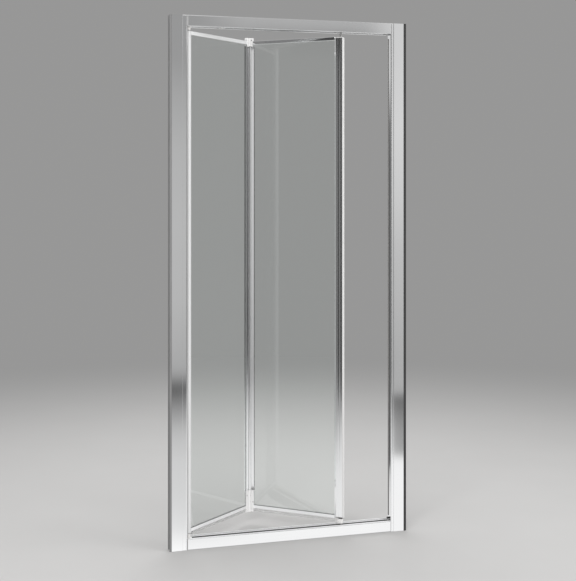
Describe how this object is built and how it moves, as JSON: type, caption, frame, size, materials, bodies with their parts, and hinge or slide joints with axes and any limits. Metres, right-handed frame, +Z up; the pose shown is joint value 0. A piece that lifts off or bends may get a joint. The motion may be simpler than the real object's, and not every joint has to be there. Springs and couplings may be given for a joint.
{
  "type": "bifold shower door",
  "caption": "Framed bifold shower door for a recess: polished aluminium frame and a hinged pair of clear glass leaves that fold inward on a pivot and a roller track.",
  "frame": {"origin": "on the underside of the sill rail, at the middle of the doorway's width and on the centre line of the roller track", "axes": "+X along the doorway to the right as seen from outside the shower, +Y into the shower, +Z up"},
  "size_m": [0.898, 0.2704, 1.9],
  "materials": {
    "wall_rubber": "matt",
    "frame_aluminium": "bright polished",
    "leaf_aluminium": "bright polished",
    "glass": "clear toughened",
    "grey_plastic": "satin",
    "white_nylon": "satin",
    "cap_nylon": "satin",
    "magnet_white": "satin",
    "magnet_grey": "satin",
    "dark_rubber": "matt",
    "gasket": "matt",
    "clear_seal": "clear flexible",
    "steel": "plain"
  },
  "bodies": {
    "frame": {"wall_seal_left": "wall_rubber", "wall_seal_right": "wall_rubber", "wall_profile_left": "frame_aluminium", "wall_profile_right": "frame_aluminium", "jamb_left": "frame_aluminium", "jamb_right": "frame_aluminium", "profile_cap_left": "grey_plastic", "profile_cap_right": "grey_plastic", "head_rail": "frame_aluminium", "sill_rail": "frame_aluminium", "rail_end_plugs": "grey_plastic", "corner_screws": "steel", "adjusting_screws": "steel", "adjusting_screw_caps": "grey_plastic", "pivot_block_top": "white_nylon", "pivot_block_bottom": "white_nylon", "pivot_jamb_seal": "magnet_white", "jamb_magnet_strip": "magnet_grey", "closing_bumper": "dark_rubber", "track_stop": "white_nylon"},
    "leaf_1": {"pivot_stile": "leaf_aluminium", "fold_stile_1": "leaf_aluminium", "top_rail_1": "leaf_aluminium", "bottom_rail_1": "leaf_aluminium", "glass_1": "glass", "glazing_gasket_1": "gasket", "glass_packers_1": "dark_rubber", "bottom_seal_1": "clear_seal", "fold_seal": "dark_rubber", "pivot_pin_top": "steel", "pivot_pin_bottom": "steel", "hinge_cap_top_1": "cap_nylon", "hinge_cap_bottom_1": "cap_nylon", "hinge_cap_screws_1": "steel", "hinge_pin_top": "steel", "hinge_pin_bottom": "steel"},
    "leaf_2": {"fold_stile_2": "leaf_aluminium", "leading_stile": "leaf_aluminium", "top_rail_2": "leaf_aluminium", "bottom_rail_2": "leaf_aluminium", "glass_2": "glass", "glazing_gasket_2": "gasket", "glass_packers_2": "dark_rubber", "bottom_seal_2": "clear_seal", "leaf_magnet_strip": "magnet_white", "hinge_cap_top_2": "cap_nylon", "hinge_cap_bottom_2": "cap_nylon", "hinge_cap_screws_2": "steel", "guide_block_top": "white_nylon", "guide_block_bottom": "white_nylon", "guide_pin_top": "steel", "guide_pin_bottom": "steel", "roller_clips": "steel"},
    "roller_top": {"guide_roller_top": "white_nylon"},
    "roller_bottom": {"guide_roller_bottom": "white_nylon"}
  },
  "joints": [
    {"name": "leaf_1_swing", "type": "hinge", "parent": "frame", "child": "leaf_1", "pos_m": [-0.376, 0, 0.95], "axis": [0, 0, 1], "range_deg": [-40.45, 39.55]},
    {"name": "leaf_2_fold", "type": "hinge", "parent": "leaf_1", "child": "leaf_2", "pos_m": [-0.08901, 0.23614, 0.95], "axis": [0, 0, 1], "range_deg": [-79.1, 80.9]},
    {"name": "roller_top_spin", "type": "hinge", "parent": "leaf_2", "child": "roller_top", "pos_m": [0.19799, 0, 1.8765], "axis": [0, 0, 1], "continuous": true},
    {"name": "roller_bottom_spin", "type": "hinge", "parent": "leaf_2", "child": "roller_bottom", "pos_m": [0.19799, 0, 0.0235], "axis": [0, 0, 1], "continuous": true}
  ],
  "couplings": [
    {"joint": "leaf_2_fold", "follows": "leaf_1_swing", "ratio": -2}
  ]
}
